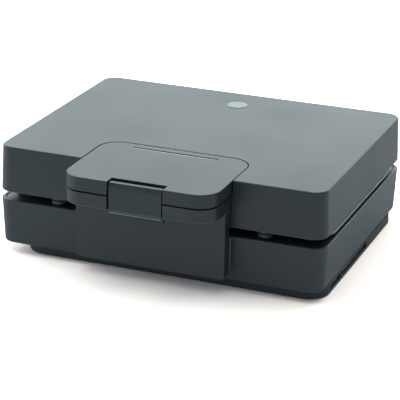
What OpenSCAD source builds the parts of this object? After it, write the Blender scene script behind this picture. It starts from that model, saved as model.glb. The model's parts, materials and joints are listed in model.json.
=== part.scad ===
// Waffle maker with a hinged lid, two lift-out waffle plates and a latched front handle.
// Millimetres, +Z up. The front, with the handle, faces -Y, and the lid is closed.
// The origin lies under the middle of the whole object, on the surface that it stands on.

/* [Housings] */
// Width of both housings where they meet
body_w = 303; // [296:1:340]
// Depth of both housings where they meet
body_d = 236; // [230:1:270]
// Height of the lower housing's walls
base_h = 41; // [38:1:60]
// Height of the lid's walls
lid_h = 41.3; // [41:0.1:60]
// Height of the slot between the lid and the lower housing
parting_gap = 7.7; // [7.7:0.1:9]
// How far the bottom cover and its feet hold the housing off the table
standoff = 10; // [8:0.5:14]
// Radius of the housings' upright corners
corner_r = 14; // [10:0.5:18]
// How far each wall leans inwards from the parting line to its far end
draft = 1.7; // [0.5:0.1:2.5]
// Thickness of the moulded walls
wall = 2.6; // [2.3:0.1:3.4]
// Radius of the lid's top edge
top_edge_r = 1.2; // [0.5:0.1:2.5]
// Radius of the edges along the parting line
rim_edge_r = 0.9; // [0.4:0.1:1.4]
// Radius of the lower housing's bottom edge
bottom_edge_r = 2.2; // [0.5:0.1:2.5]
// Width of the raised rim round the lower housing
rim_w = 3; // [2.4:0.1:4]
// How far the deck and the lid frame lie inside their rims
deck_drop = 0.5; // [0.3:0.1:0.8]
// Thickness of the deck and of the lid frame
deck_t = 2.4; // [2:0.1:3]
// Width of the drip groove just inside the rim
groove_w = 1; // [0.6:0.1:1.6]
// Depth of the drip groove
groove_depth = 1.1; // [0.5:0.1:1.4]

/* [Waffle plates] */
// Distance of the well that a plate drops into from the housing's sides
well_side = 22.5; // [20.5:0.5:25]
// Distance of the well from the housing's front and back
well_front = 28; // [26:0.5:31]
// How far the lower plate's flange stays inside the housing at each side
lower_flange_side = 2; // [1.6:0.1:6]
// How far the lower plate's flange stays inside the housing at front and back
lower_flange_front = 14; // [13:0.5:17]
// How far the upper plate's flange stays inside the housing at each side
upper_flange_side = 6.5; // [5:0.5:9]
// How far the upper plate's flange stays inside the housing at front and back
upper_flange_front = 17; // [15:0.5:19]
// Corner radius of the plates' flanges
flange_r = 27; // [22:1:30]
// Thickness of the plates' flanges
flange_t = 2.5; // [2:0.1:2.8]
// Space between the two plates when closed
plate_gap = 0.6; // [0.4:0.1:1]
// Height of the lower plate's face above the middle of the slot
face_lift = 0.55; // [0.3:0.05:0.7]
// Waffles side by side
waffles = 2; // [1:1:3]
// Pockets across one waffle
pockets_x = 4; // [2:1:5]
// Pockets along one waffle
pockets_y = 6; // [3:1:7]
// Metal left beside and between the waffle cavities
waffle_rib = 8; // [6:0.5:14]
// Depth of a waffle cavity
cavity_depth = 12; // [8:0.5:13]
// Corner radius of a waffle cavity
cavity_r = 8; // [4:0.5:12]
// How far the studs' tops lie below the plate's face
stud_drop = 2.5; // [1.5:0.5:5]
// Gap between the feet of neighbouring studs
stud_gap = 6; // [4:0.5:9]
// Size of a stud's top as a share of its foot
stud_taper = 0.74; // [0.5:0.02:0.9]
// Thickness of metal under the cavities
plate_floor = 3; // [2:0.5:4]

/* [Heaters] */
// Radius of the heating rod
rod_r = 3.2; // [2.5:0.1:3.6]
// Runs of the heating rod across the plate
rod_runs = 4; // [4:2:6]
// Distance of the rod's first and last run from the plate's front and back
rod_front = 29; // [20:1:44]
// Distance of the rod's straight runs from the plate's sides
rod_side = 38; // [34:1:60]
// Thickness of the reflector's sheet
reflector_t = 0.8; // [0.5:0.1:1.2]
// Height of the cradles that hold the rod off the reflector
cradle_h = 2.5; // [2:0.5:3.5]

/* [Handle and latch] */
// Width of the handle
handle_w = 138.5; // [110:0.5:160]
// How far the handle stands out from the housings
handle_out = 43.6; // [38:0.2:55]
// How far the handle pad reaches back into the lid's top
handle_in = 55.5; // [44:0.5:70]
// Corner radius of the handle
handle_r = 19; // [10:0.5:22]
// Thickness of the upper handle
upper_handle_t = 12; // [10.5:0.5:12.5]
// Thickness of the lower handle
lower_handle_t = 12; // [8:0.5:14]
// Slit between the two handles
handle_gap = 1.2; // [0.4:0.1:1.6]
// Seam round the handle pad in the lid's top
handle_seam = 0.6; // [0.3:0.1:1]
// Radius of the handles' edges
handle_edge_r = 0.8; // [0.3:0.1:1.2]
// Depth of the block that carries the lower handle on the front wall
block_out = 12; // [8:0.5:14]
// How far the block's sides lie inside the handle's sides
block_in = 0.5; // [0:0.5:8]
// Height of the block's lower edge above the housing's lower edge
block_lift = 4.7; // [3:0.1:12]
// Width of the latch
latch_w = 47.6; // [36:0.2:60]
// Height of the latch
latch_h = 31; // [28:0.5:34]
// Thickness of the latch's front wall
latch_t = 2.3; // [2:0.1:2.8]
// How far the lip at the latch's foot stands out
latch_lip = 1; // [0.4:0.1:1.4]
// Gap between the latch and the sides of its notch
latch_side_gap = 1.4; // [0.5:0.1:2]
// Depth of the notch that the latch lies in
notch_depth = 11.2; // [11:0.1:14]
// Radius of the latch's pin
latch_pin_r = 1.5; // [1:0.1:1.8]
// How far the pin goes into each side of the notch
latch_pin_seat = 6; // [3:0.5:10]
// Length of the light strip in the handle
light_l = 79; // [40:1:90]
// Width of the light strip
light_w = 3.2; // [2.8:0.1:6]
// Distance from the pad's back edge to the light strip
light_back = 10; // [8:0.5:16]
// Radius of the badge disc
badge_r = 9.5; // [6:0.5:14]
// Distance from the lid's back edge to the badge's centre
badge_back = 38; // [20:1:60]

/* [Hinge] */
// Distance of the hinge axis behind the housings
hinge_back = 7; // [6.8:0.1:9]
// Radius of the hinge knuckles
knuckle_r = 6.4; // [5.5:0.1:6.5]
// Radius of the hinge pins
hinge_pin_r = 2.5; // [2:0.1:3]
// Distance between the two hinges
hinge_spread = 170; // [158:2:220]
// Width of a lid arm's knuckle
knuckle_w = 16; // [10:0.5:24]
// Thickness of a bracket's ear
ear_t = 6; // [4:0.5:9]

/* [Release buttons] */
// Distance of the release buttons from the housing's sides
button_side = 55.5; // [47:0.5:63]
// Distance from the housing's front to a button's centre
button_front = 12; // [11.5:0.1:13]
// Radius of a button's head
button_r = 6.5; // [5:0.1:7]
// Thickness of a button's head
button_t = 3.4; // [2.6:0.1:3.6]
// Travel of a button
button_travel = 1.5; // [0.8:0.1:1.5]
// Radius of a button's stem
stem_r = 3; // [2:0.1:3.4]
// Free height of a button's spring
spring_h = 9; // [7:0.5:11]

/* [Bottom, feet and inlet] */
// How far the bottom cover's skirt stays inside the housing at the left
skirt_left = 20; // [2:0.5:24]
// How far the bottom cover's skirt stays inside the housing at the right
skirt_right = 2; // [2:0.5:24]
// How far the bottom cover's skirt stays inside the housing at front and back
skirt_front = 9; // [6:0.5:9.5]
// Corner radius of the skirt
skirt_r = 20; // [14:1:24]
// How far the feet reach below the skirt
foot_drop = 1; // [0.5:0.25:3]
// Radius of a rubber foot
foot_r = 11; // [8:0.5:12]
// Distance of the feet from the skirt's sides
foot_side = 18; // [17:0.5:34]
// Distance of the feet from the skirt's front and back
foot_front = 17.5; // [17:0.5:19]
// Number of slots across the bottom cover's vent field
vent_count = 12; // [4:1:16]
// Radius of the cable hole in the inlet gland
inlet_r = 3.75; // [2.5:0.05:4.5]
// Sideways place of the inlet gland on the back
inlet_x = 52; // [30:1:58]
// Radius of the screws' shanks
screw_r = 1.5; // [1:0.1:1.8]
// Distance of the side screws from the housing's side
screw_side = 13.5; // [12:0.5:15]
// Distance of the side screws from the housing's front and back
screw_front = 46; // [42:0.5:54]
// Distance of the middle screws from the housing's front and back
screw_mid = 15.5; // [14:0.5:17]

/* [Hidden] */

$fn = 48;
hull_fn = 32;           // facets of a circle inside a hull
thin = 0.01;            // thickness of a slice that a hull joins up
over = 1;               // how far a cutting tool passes through a face
slip = 0.3;             // clearance between pieces that drop together
run_fit = 0.05;         // radial clearance of a pin in its bore
edge_steps = 4;         // facets across a rounded edge

// Heights
base_z = standoff;
base_top = base_z + base_h;
mid_z = base_top + parting_gap / 2;
lid_z = base_top + parting_gap;
lid_top = lid_z + lid_h;
deck_z = base_top - deck_drop;
cover_z = foot_drop;
handle_floor = lid_top - upper_handle_t;
lower_handle_top = handle_floor - handle_gap;
lower_handle_z = lower_handle_top - lower_handle_t;

// Depth: the housings' middle is moved back so that handle and hinge balance about the origin
hinge_out = hinge_back + knuckle_r;
body_y = (handle_out - hinge_out) / 2;
front_y = -body_d / 2;
back_y = body_d / 2;
grip_y = front_y - handle_out;
pad_y = front_y + handle_in;
block_y = front_y - block_out;
block_low = base_z + block_lift;
block_r = 4;            // rounding of the block's lower corners
block_foot = 1.2;       // slanting foot beside the block
handle_draft = 0.3;     // how far the handles' sides lean inwards from the slit between them
lid_room = 1.5;         // room in front of the lid's front wall
catch_z = lower_handle_z + 3.4;
hinge_y = back_y + hinge_back;
notch_y = grip_y + notch_depth;
notch_w = latch_w + 2 * latch_side_gap;

// Inside of the housings
inner_w = body_w - 2 * (draft + wall);
inner_d = body_d - 2 * (draft + wall);
inner_r = corner_r - draft - wall + 1;

// Waffle plates, measured with the plate's face upwards
lower_face = mid_z + face_lift;
upper_face = 2 * mid_z - lower_face - plate_gap;
plate_depth = cavity_depth + plate_floor;
well_w = body_w - 2 * well_side;
well_d = body_d - 2 * well_front;
plate_body_w = well_w - 2;
plate_body_d = well_d - 2;
waffle_w = (plate_body_w - (waffles + 1) * waffle_rib) / waffles;
waffle_d = plate_body_d - 2 * waffle_rib;
waffle_pitch = waffle_w + waffle_rib;
stud_h = cavity_depth - stud_drop;
stud_pitch_x = waffle_w / pockets_x;
stud_pitch_y = waffle_d / pockets_y;
button_clear = 0.7;     // room round a button's head
button_sink = 1.2;      // depth of the hollow in the deck under a button's head
rest_r = 4;             // radius of the bosses that a plate rests on
drip_w = 3;             // width of the drip channel round the cavities
drip_depth = 1.1;

// Reflector and rod, below a plate whose face is at a given height
rod_gap = 0.1;
tray_gap = 0.4;
tray_w = plate_body_w + 2 * (tray_gap + reflector_t);
tray_d = plate_body_d + 2 * (tray_gap + reflector_t);
tray_lip = 3;
function rod_z(face) = face - plate_depth - rod_gap - rod_r;
function tray_z(face) = rod_z(face) - rod_r - cradle_h;
rod_run = plate_body_w - 2 * rod_side;
rod_span = plate_body_d - 2 * rod_front;
rod_pitch = rod_span / (rod_runs - 1);
rod_pin_r = 1.6;
rod_lead = 28;          // straight end of the rod before its pin
rod_pin_l = 20;

// Screws
head_r = 2 * screw_r;
head_t = 1.6;
post_r = screw_r + 2.5;
hole_r = screw_r + 0.15;
screw_l = 9;
post_x = body_w / 2 - screw_side;
post_y = body_d / 2 - screw_front;
mid_post_y = body_d / 2 - screw_mid;

// Buttons
button_x = body_w / 2 - button_side;
button_y = front_y + button_front;
button_lift = button_travel + 0.2 - button_sink;
collar_r = stem_r + 2.2;
collar_t = 1.5;
cup_r = collar_r + 0.4;
cup_wall = 1.2;
spring_wire = 0.4;
spring_turns = 5;

// Latch
coil_r = 2.2;
coil_wire = 0.35;
coil_gap = 0.3;
pivot_y = grip_y + latch_lip + latch_t + coil_gap + coil_wire + coil_r;
pivot_z = lid_top - 7.6;
latch_top = lid_top - 1;
latch_low = latch_top - latch_h;
latch_knuckle_r = 3.3;
catch_out = 1.5;
nose_gap = 0.8;         // keeps the nose clear of the catch, so that the lid can lift by itself
nose_y = notch_y - catch_out - nose_gap;

// Bottom
skirt_w = body_w - skirt_left - skirt_right;
skirt_d = body_d - 2 * skirt_front;
foot_x = skirt_w / 2 - foot_side;
foot_y = skirt_d / 2 - foot_front;
foot_wall = 1.5;
foot_peg_r = 4;
bottom_t = 2.4;
floor_z = base_z + bottom_t;
side_slot_drop = 1.6;   // distance from the skirt's top to its side slots

// Light strip
light_y = pad_y - light_back;
light_depth = 3;
lens_y = light_y - light_w / 4 + 0.1;
lens_w = 0.45 * light_w;
lens_drop = 0.3;
lens_end = 0.6;         // room between each end of the strip and its slot
guide_w = lens_w - 0.5;
guide_l = light_l - 4.4;
slot_end = 0.2;         // room between each end of the guide and its slot
board_t = 1.6;
board_w = 12;
led_l = 3;
led_w = 2.8;
led_h = 1.4;
led_gap = 0.1;          // air over a light chip

// Badge
badge_seat = 0.6;       // depth of the badge's recess
badge_t = 0.7;          // height of the disc's straight edge
badge_rim = 0.25;       // height of the slope round its face
badge_slope = 0.4;      // width of that slope

// Hinges
pin_head_t = 1.4;
pin_head_rim = 1.2;
knuckle_room = 1;       // room between the knuckle and the bracket below it
bracket_t = 5;          // thickness of the bracket's outer end
bracket_foot = 3;       // thickness of the bracket at its foot
arm_lift = 3.5;         // height of the arm's foot above the lid's lower edge
arm_tip = 2;            // thickness of the arm at its top

// Colours
slate = "#444c50";
dark_slate = "#2f3538";
black = "#1e2022";
cast = "#2b2b2c";
steel = "#b9bcc0";
sheet = "#c9cbcc";
rubber_black = "#17181a";

// ---- shared shapes ----

// Moves a shape from the housings' own middle to its place in the whole object.
module at_body() {
    translate([0, body_y, 0]) children();
}

// Turns a shape of the lower half over, about the middle of the slot.
module flip_up() {
    translate([0, 0, 2 * mid_z]) mirror([0, 0, 1]) children();
}

// Rectangle with round corners.
module rounded(w, d, r) {
    square([w - 2 * r, d], center = true);
    square([w, d - 2 * r], center = true);
    for (x = [-1, 1], y = [-1, 1])
        translate([x * (w / 2 - r), y * (d / 2 - r)]) circle(r);
}

// Upright block with round corners.
module rounded_block(w, d, r, z, h) {
    translate([0, 0, z]) linear_extrude(h) rounded(w, d, r);
}

// Block whose walls lean from low_in to high_in, with edge radii e_low and e_high.
module drafted_block(w, d, r, z, h, low_in, high_in, e_low, e_high) {
    hull() {
        for (i = [0 : edge_steps]) {
            a = 90 * i / edge_steps;
            low = low_in + e_low * (1 - cos(a));
            high = high_in + e_high * (1 - cos(a));
            rounded_slice(w - 2 * low, d - 2 * low, r - low, z + e_low * (1 - sin(a)));
            rounded_slice(w - 2 * high, d - 2 * high, r - high, z + h - thin - e_high * (1 - sin(a)));
        }
    }
}

module rounded_slice(w, d, r, z) {
    translate([0, 0, z]) linear_extrude(thin) rounded(w, d, r, $fn = hull_fn);
}

// Bar along X with a side profile of [y, z] points.
module side_profile(points, w) {
    translate([-w / 2, 0, 0]) rotate([90, 0, 90]) linear_extrude(w) polygon(points);
}

// Cylinder along X, centred on X = 0.
module x_rod(r, w, y, z) {
    translate([-w / 2, y, z]) rotate([0, 90, 0]) cylinder(r = r, h = w);
}

// Screw pointing up, with its head's underside at z = 0 and a cross recess in the head.
module screw(l) {
    slot = head_r * 1.2;
    difference() {
        union() {
            translate([0, 0, -head_t]) cylinder(r = head_r, h = head_t);
            cylinder(r = screw_r, h = l);
        }
        for (a = [0, 90])
            rotate([0, 0, a]) translate([-slot / 2, -head_r / 8, -head_t - over])
                cube([slot, head_r / 4, over + head_t / 2]);
    }
}

// Places of the screws that close a housing.
module at_posts() {
    for (x = [-post_x, post_x], y = [-post_y, post_y]) translate([x, y, 0]) children();
    for (y = [-mid_post_y, mid_post_y]) translate([0, y, 0]) children();
}

module at_buttons() {
    for (x = [-button_x, button_x]) translate([x, button_y, 0]) children();
}

// The skirt sits nearer to the right side than to the left.
module at_skirt() {
    translate([(skirt_left - skirt_right) / 2, 0, 0]) children();
}

module at_feet() {
    at_skirt() for (x = [-foot_x, foot_x], y = [-foot_y, foot_y]) translate([x, y, 0]) children();
}

// Place of the leaning back face at a height in the lower housing or in the lid.
function base_back(z) = back_y - draft * (base_top - rim_edge_r - thin - z)
    / (base_h - bottom_edge_r - rim_edge_r - thin);
function lid_back(z) = back_y - draft * (z - lid_z - rim_edge_r - thin)
    / (lid_h - top_edge_r - rim_edge_r - thin);

// Wire of radius r along a list of points.
module wire(points, r, sides) {
    n = len(points);
    function unit(v) = v / norm(v);
    function way(i) = unit(points[min(i + 1, n - 1)] - points[max(i - 1, 0)]);
    function side(t) = unit(cross(t, abs(t.z) > 0.9 ? [1, 0, 0] : [0, 0, 1]));
    rings = [for (i = [0 : n - 1]) let (t = way(i), u = side(t), v = cross(t, u))
        for (k = [0 : sides - 1]) points[i] + r * (u * cos(360 * k / sides) + v * sin(360 * k / sides))];
    skin = [for (i = [0 : n - 2], k = [0 : sides - 1]) let (m = (k + 1) % sides)
        [i * sides + k, (i + 1) * sides + k, (i + 1) * sides + m, i * sides + m]];
    first = [for (k = [0 : sides - 1]) k];
    last = [for (k = [sides - 1 : -1 : 0]) (n - 1) * sides + k];
    polyhedron(points = rings, faces = concat([first], skin, [last]), convexity = 8);
}

// Points of a helix about Z.
function helix(r, z0, z1, turns, per_turn) = [for (i = [0 : turns * per_turn])
    [r * cos(360 * i / per_turn), r * sin(360 * i / per_turn), z0 + (z1 - z0) * i / (turns * per_turn)]];

// ---- one heater pack, with the plate's face upwards ----

// Foot of one stud, a square with clipped corners.
module stud_foot() {
    w = stud_pitch_x - stud_gap;
    d = stud_pitch_y - stud_gap;
    clip = min(w, d) / 6;
    polygon([[-w / 2 + clip, -d / 2], [w / 2 - clip, -d / 2], [w / 2, -d / 2 + clip],
        [w / 2, d / 2 - clip], [w / 2 - clip, d / 2], [-w / 2 + clip, d / 2],
        [-w / 2, d / 2 - clip], [-w / 2, -d / 2 + clip]]);
}

// Cast waffle plate: a flange, a body that drops into the well, and studded waffle cavities.
module waffle_plate(face, flange_side, flange_front) {
    floor_level = face - cavity_depth;
    color(cast) {
        difference() {
            union() {
                rounded_block(body_w - 2 * flange_side, body_d - 2 * flange_front, flange_r,
                    face - flange_t, flange_t);
                rounded_block(plate_body_w, plate_body_d, cavity_r + 4, face - plate_depth, plate_depth);
            }
            for (i = [0 : waffles - 1])
                translate([(i - (waffles - 1) / 2) * waffle_pitch, 0, 0])
                    rounded_block(waffle_w, waffle_d, cavity_r, floor_level, cavity_depth + over);
            at_buttons() translate([0, 0, face - flange_t - over])
                cylinder(r = button_r + button_clear, h = flange_t + 2 * over);
            // drip channel
            difference() {
                rounded_block(plate_body_w + 2 * (drip_w + 1), plate_body_d + 2 * (drip_w + 1),
                    cavity_r + 8 + drip_w, face - drip_depth, drip_depth + over);
                rounded_block(plate_body_w + 2, plate_body_d + 2, cavity_r + 8,
                    face - drip_depth - over, drip_depth + 3 * over);
            }
        }
        for (i = [0 : waffles - 1], u = [0 : pockets_x - 1], v = [0 : pockets_y - 1])
            translate([(i - (waffles - 1) / 2) * waffle_pitch + (u - (pockets_x - 1) / 2) * stud_pitch_x,
                (v - (pockets_y - 1) / 2) * stud_pitch_y, floor_level])
                linear_extrude(stud_h, scale = stud_taper) stud_foot();
    }
}

// Sheathed heating rod: straight runs joined by round bends, with a cold pin at each end.
module heating_rod(face) {
    z = rod_z(face);
    half = rod_pitch / 2;
    color(steel) {
        for (i = [0 : rod_runs - 1])
            translate([0, (i - (rod_runs - 1) / 2) * rod_pitch, z])
                x_rod(rod_r, rod_run, 0, 0);
        for (i = [0 : rod_runs - 2]) {
            end = i % 2 == 0 ? -1 : 1;
            translate([end * rod_run / 2, (i - (rod_runs - 2) / 2) * rod_pitch, z])
                rotate([0, 0, end < 0 ? 90 : -90])
                    rotate_extrude(angle = 180) translate([half, 0]) circle(rod_r);
        }
        for (y = [-1, 1])
            translate([rod_run / 2, y * rod_span / 2, z]) rotate([0, 90, 0]) {
                cylinder(r = rod_r, h = rod_lead);
                translate([0, 0, rod_lead]) cylinder(r = rod_pin_r, h = rod_pin_l);
            }
    }
}

// Cradles that carry the rod on the reflector.
module rod_cradles(face) {
    cradle_w = 8;
    cradle_d = 2 * rod_r + 4;
    color(sheet)
        for (i = [0 : rod_runs - 1], x = [-rod_run / 3, rod_run / 3])
            translate([x, (i - (rod_runs - 1) / 2) * rod_pitch, 0])
                difference() {
                    translate([-cradle_w / 2, -cradle_d / 2, tray_z(face)])
                        cube([cradle_w, cradle_d, cradle_h + rod_r - 0.5]);
                    x_rod(rod_r + run_fit, cradle_w + 2, 0, rod_z(face));
                }
}

// Pressed sheet tray that hangs from the deck by its lip, below the rod.
module reflector_tray(face) {
    z = tray_z(face) - reflector_t;
    top = deck_z - deck_t;
    r = cavity_r + 4;
    color(sheet) {
        difference() {
            rounded_block(tray_w, tray_d, r, z, top - z);
            rounded_block(tray_w - 2 * reflector_t, tray_d - 2 * reflector_t, r - reflector_t,
                z + reflector_t, top - z);
            for (y = [-1, 1])
                translate([tray_w / 2, y * rod_span / 2, rod_z(face)])
                    rotate([0, 90, 0]) cylinder(r = 2 * rod_pin_r, h = 4 * over, center = true);
        }
        difference() {
            rounded_block(tray_w + 2 * tray_lip, tray_d + 2 * tray_lip, r + tray_lip,
                top - reflector_t, reflector_t);
            rounded_block(tray_w - 2 * reflector_t, tray_d - 2 * reflector_t, r - reflector_t,
                top - reflector_t - over, reflector_t + 2 * over);
        }
    }
}

// What the deck and the lid frame share: bosses for the plate, and cups for the buttons' springs.
module deck_fittings(face) {
    rest_x = well_w / 2 + rest_r + 1;
    for (x = [-rest_x, rest_x], y = [-well_d / 4, well_d / 4])
        translate([x, y, deck_z - deck_t]) cylinder(r = rest_r, h = face - flange_t - deck_z + deck_t);
    at_buttons() translate([0, 0, spring_foot - cup_wall])
        cylinder(r = cup_r + cup_wall, h = deck_z - deck_t - spring_foot + cup_wall + over);
}

// Holes that the deck and the lid frame share: the well, the buttons' bores and their cups.
module deck_holes() {
    rounded_block(well_w, well_d, cavity_r + 5, deck_z - deck_t - over, deck_t + 2 * over);
    at_buttons() {
        translate([0, 0, spring_foot]) cylinder(r = cup_r, h = deck_z - deck_t - spring_foot);
        translate([0, 0, deck_z - deck_t - over]) cylinder(r = stem_r + run_fit, h = deck_t + 2 * over);
        translate([0, 0, deck_z - button_sink])
            cylinder(r = button_r + button_clear / 2, h = button_sink + over);
    }
}

// Height of a button's collar at rest, and of its spring's lower end.
collar_z = deck_z - deck_t - collar_t - 0.1;
spring_foot = collar_z - spring_h;

// Mushroom button that is pressed into the deck to let the plate go.
module release_button(x) {
    color(black) translate([x, button_y, 0]) {
        translate([0, 0, deck_z + button_lift]) cylinder(r = button_r, h = button_t - 0.6);
        translate([0, 0, deck_z + button_lift + button_t - 0.6])
            cylinder(r1 = button_r, r2 = button_r - 0.6, h = 0.6);
        translate([0, 0, collar_z]) cylinder(r = stem_r, h = deck_z + button_lift - collar_z);
        translate([0, 0, collar_z]) cylinder(r = collar_r, h = collar_t);
    }
}

module button_spring(x) {
    color(steel) translate([x, button_y, 0])
        wire(helix(collar_r - 1, spring_foot + spring_wire, collar_z - spring_wire, spring_turns, 12),
            spring_wire - 0.02, 5);
}

// ---- lower housing ----

module base_shell() {
    post_z = floor_z;
    color(slate) at_body() difference() {
        union() {
            difference() {
                drafted_block(body_w, body_d, corner_r, base_z, base_h, draft, 0, bottom_edge_r, rim_edge_r);
                rounded_block(inner_w, inner_d, inner_r, base_z - over, deck_z - deck_t - base_z + over);
                rounded_block(body_w - 2 * rim_w, body_d - 2 * rim_w, corner_r - rim_w, deck_z, base_h);
                difference() {
                    rounded_block(body_w - 2 * rim_w, body_d - 2 * rim_w, corner_r - rim_w,
                        deck_z - groove_depth, base_h);
                    rounded_block(body_w - 2 * (rim_w + groove_w), body_d - 2 * (rim_w + groove_w),
                        corner_r - rim_w - groove_w, deck_z - groove_depth - over, base_h);
                }
            }
            deck_fittings(lower_face);
            at_posts() translate([0, 0, post_z])
                cylinder(r = post_r, h = deck_z - deck_t - post_z + over / 2);
        }
        deck_holes();
        at_posts() translate([0, 0, post_z - over]) cylinder(r = screw_r + run_fit, h = screw_l + over);
        // opening for the inlet gland
        translate([inlet_x, back_y, inlet_z]) rotate([90, 0, 0])
            cylinder(r = gland_r + run_fit, h = 4 * (wall + draft), center = true);
        // screw holes behind the front block
        at_block_screws() translate([0, 0, -over]) cylinder(r = hole_r, h = 2 * (wall + draft) + over);
    }
}

// Screws that hold the front block, pointing out of the front wall.
block_w = handle_w - 2 * block_in;
block_screw_x = block_w / 2 - 14;
block_screw_z = [base_z + 0.35 * base_h, base_z + 0.75 * base_h];
module at_block_screws() {
    for (x = [-block_screw_x, block_screw_x], z = block_screw_z)
        translate([x, -inner_d / 2, z]) rotate([90, 0, 0]) children();
}

module lower_handle_screws() {
    color(steel) at_body() at_block_screws() screw(screw_l);
}

// Skirted cover under the lower housing, with vents, screw wells and seats for the feet.
module bottom_cover() {
    root_t = 1;         // roots the skirt under the cover
    side_slot_h = standoff - foot_drop - 4;
    vent_w = 3;
    vent_l = 34;
    vent_pitch = 9;
    color(dark_slate) at_body() difference() {
        union() {
            rounded_block(inner_w - 2 * slip, inner_d - 2 * slip, inner_r - slip, base_z, bottom_t);
            at_skirt() difference() {
                rounded_block(skirt_w, skirt_d, skirt_r, cover_z, base_z - cover_z);
                rounded_block(skirt_w - 2 * wall, skirt_d - 2 * wall, skirt_r - wall,
                    cover_z - over, base_z - cover_z + over - root_t);
            }
            at_feet() translate([0, 0, cover_z]) cylinder(r = foot_r + foot_wall, h = base_z - cover_z);
            at_posts() translate([0, 0, cover_z + 1]) cylinder(r = head_r + 2, h = base_z - cover_z - 1);
        }
        at_feet() {
            translate([0, 0, cover_z - over]) cylinder(r = foot_r + 0.1, h = base_z - cover_z + over);
            translate([0, 0, base_z - over]) cylinder(r = foot_peg_r + 0.1, h = bottom_t + 2 * over);
        }
        at_posts() {
            translate([0, 0, cover_z]) cylinder(r = head_r + 0.5, h = base_z - cover_z + head_t - 1);
            translate([0, 0, base_z]) cylinder(r = hole_r, h = bottom_t + over);
        }
        // air slots in both sides of the skirt
        at_skirt() for (x = [-1, 1], span = [[-0.81, -0.53], [-0.505, 0.18]])
            translate([x * (skirt_w - wall) / 2 - 0.8 * wall, span[0] * skirt_d / 2,
                base_z - side_slot_drop - side_slot_h])
                cube([1.6 * wall, (span[1] - span[0]) * skirt_d / 2, side_slot_h]);
        // vent field
        for (i = [0 : vent_count - 1], y = [-1, 1])
            translate([(i - (vent_count - 1) / 2) * vent_pitch - vent_w / 2,
                y * vent_l * 0.6 - vent_l / 2, base_z - root_t - over])
                cube([vent_w, vent_l, root_t + bottom_t + 2 * over]);
    }
}

// Rubber foot with a peg that snaps into the bottom cover.
module foot(x, y) {
    color(rubber_black) at_body() at_skirt() translate([x * foot_x, y * foot_y, 0]) {
        cylinder(r1 = foot_r - 1, r2 = foot_r, h = 1);
        translate([0, 0, 1]) cylinder(r = foot_r, h = base_z - 1);
        translate([0, 0, base_z]) cylinder(r = foot_peg_r, h = bottom_t);
    }
}

module base_screws() {
    color(steel) at_body() at_posts() translate([0, 0, base_z + head_t - 1]) screw(screw_l);
}

// Slanting foot beside the block, along the front wall.
module block_foot_strip() {
    half = block_w / 2;
    low = block_low + block_r;
    high = base_top - rim_edge_r - 2 * thin;
    intersection() {
        translate([half, 0, 0]) side_profile([[front_y - 2 * block_foot, low], [-base_back(low), low],
            [-base_back(high), high], [front_y - 2 * block_foot, high]], 6 * block_foot);
        linear_extrude(base_top) polygon([[half - over, front_y - block_foot], [half, front_y - block_foot],
            [half + block_foot, front_y], [half + block_foot, front_y + 2 * draft],
            [half - over, front_y + 2 * draft]]);
    }
}

// What rounds the block's lower corner.
module block_corner() {
    translate([block_w / 2 - block_r, block_y - over, block_low + block_r]) difference() {
        translate([0, 0, -block_r - over]) cube([block_r + over, 2 * block_out, block_r + over]);
        translate([0, -over, 0]) rotate([-90, 0, 0]) cylinder(r = block_r, h = 2 * block_out + 2 * over);
    }
}

// Lower half of the handle: a plate on a tall block that is screwed to the front wall.
module lower_handle() {
    plate_len = handle_out + handle_in;
    block_top = lower_handle_z + 1;
    color(slate) at_body() difference() {
        union() {
            intersection() {
                translate([0, (grip_y + pad_y) / 2, 0])
                    drafted_block(handle_w, plate_len, handle_r, lower_handle_z, lower_handle_t,
                        handle_draft, 0, handle_edge_r, handle_edge_r / 2);
                translate([-handle_w, grip_y - over, lower_handle_z - over])
                    cube([2 * handle_w, handle_out - lid_room + over, lower_handle_t + 2 * over]);
            }
            side_profile([[block_y, block_low], [-base_back(block_low), block_low],
                [front_y, base_top - rim_edge_r - thin], [front_y, base_top],
                [front_y - lid_room - slip, base_top], [front_y - lid_room - slip, block_top],
                [block_y, block_top]], block_w);
            block_foot_strip();
            mirror([1, 0, 0]) block_foot_strip();
        }
        // notch for the latch
        translate([-notch_w / 2, grip_y - over, lower_handle_z - over])
            cube([notch_w, notch_depth + over, lower_handle_t + 2 * over]);
        at_block_screws() cylinder(r = screw_r + run_fit, h = screw_l + 0.5);
        block_corner();
        mirror([1, 0, 0]) block_corner();
    }
    // catch bar that the latch's nose reaches behind
    color(slate) at_body()
        side_profile([[notch_y + over, catch_z - 1], [notch_y - catch_out, catch_z],
            [notch_y - catch_out, catch_z + 2.6], [notch_y + over, catch_z + 4.6]], notch_w - 4);
}

module lower_plate() {
    at_body() waffle_plate(lower_face, lower_flange_side, lower_flange_front);
}

module lower_element() {
    at_body() heating_rod(lower_face);
}

module lower_element_cradles() {
    at_body() rod_cradles(lower_face);
}

module lower_reflector() {
    at_body() reflector_tray(lower_face);
}

// Disc thermostat against the underside of the lower reflector, with two tabs.
module thermostat() {
    top = tray_z(lower_face) - reflector_t;
    body_h = 7;
    color(black) at_body() translate([well_w / 4, 0, top]) {
        translate([0, 0, -body_h]) cylinder(r = 8, h = body_h);
        for (x = [-1, 1]) translate([x * 5 - 3, -0.4, -body_h - 5]) cube([6, 0.8, 5]);
    }
}

// Thermal fuse under a strap, against the underside of the lower reflector.
module thermal_fuse() {
    top = tray_z(lower_face) - reflector_t;
    fuse_r = 2;
    color(sheet) at_body() translate([-well_w / 4, 0, top - fuse_r]) {
        x_rod(fuse_r, 14, 0, 0);
        x_rod(0.5, 34, 0, 0);
        translate([-3, -6, 0]) cube([6, 12, fuse_r]);
    }
}

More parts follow.
